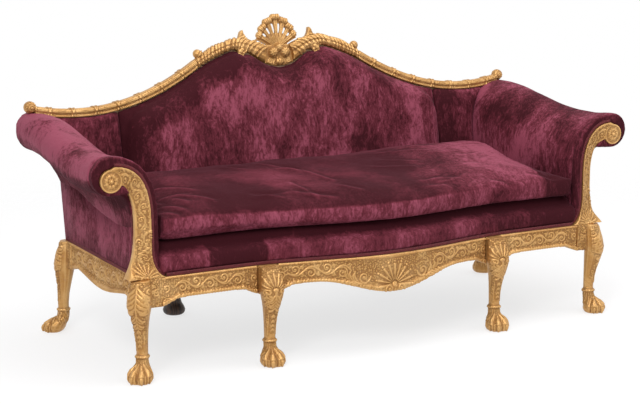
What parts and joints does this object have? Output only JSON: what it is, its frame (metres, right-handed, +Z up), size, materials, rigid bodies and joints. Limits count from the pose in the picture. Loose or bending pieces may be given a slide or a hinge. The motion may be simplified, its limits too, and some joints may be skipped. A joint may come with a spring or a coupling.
{
  "type": "cabriole sofa",
  "caption": "Three-seat cabriole sofa with a carved giltwood show frame, scrolled arms, hairy paw feet, a pierced shell crest and one long loose seat cushion in plum velvet.",
  "frame": {"origin": "on the floor under the middle of the sofa's overall width and depth", "axes": "+Z up, the front faces -Y, +X to the right as seen from the front, along the long side"},
  "size_m": [2.1198, 0.8905, 1.0898],
  "materials": {
    "gilt_wood": "worn gilding",
    "stained_wood": "dark stain",
    "beech": "raw, sawn and planed",
    "velvet": "crushed velvet",
    "gimp": "flat woven braid",
    "jute_webbing": "woven jute",
    "hessian": "coarse plain weave",
    "black_cloth": "thin dust-cover cloth"
  },
  "bodies": {
    "frame": {"front_left_seat_rail": "gilt_wood", "front_centre_seat_rail": "gilt_wood", "front_right_seat_rail": "gilt_wood", "left_seat_rail": "gilt_wood", "right_seat_rail": "gilt_wood", "back_seat_rail": "stained_wood", "left_cross_rail": "beech", "right_cross_rail": "beech", "corner_blocks": "beech", "front_left_leg": "gilt_wood", "front_right_leg": "gilt_wood", "inner_left_leg": "gilt_wood", "inner_right_leg": "gilt_wood", "back_left_leg": "gilt_wood", "back_right_leg": "gilt_wood", "plain_left_leg": "stained_wood", "plain_right_leg": "stained_wood", "left_arm_facing": "gilt_wood", "right_arm_facing": "gilt_wood", "left_arm_top_rail": "beech", "right_arm_top_rail": "beech", "left_arm_low_rail": "beech", "right_arm_low_rail": "beech", "left_arm_pad": "velvet", "right_arm_pad": "velvet", "left_arm_border": "velvet", "right_arm_border": "velvet", "left_outside_arm": "velvet", "right_outside_arm": "velvet", "left_back_post": "beech", "right_back_post": "beech", "back_uprights": "beech", "back_low_rail": "beech", "back_top_rail": "beech", "back_webbing": "jute_webbing", "outside_back": "velvet", "back_pad": "velvet", "left_wing_pad": "velvet", "right_wing_pad": "velvet", "left_reeded_rail": "gilt_wood", "right_reeded_rail": "gilt_wood", "left_leaf_scroll": "gilt_wood", "right_leaf_scroll": "gilt_wood", "crest_shell": "gilt_wood", "seat_webbing": "jute_webbing", "seat_hessian": "hessian", "seat_deck": "velvet", "rail_gimp": "gimp", "dust_cover": "black_cloth"},
    "cushion": {"seat_cushion": "velvet"}
  },
  "joints": [
    {"name": "cushion_lift", "type": "slide", "parent": "frame", "child": "cushion", "axis": [0, 0, 1], "range_m": [0, 0.5]}
  ]
}
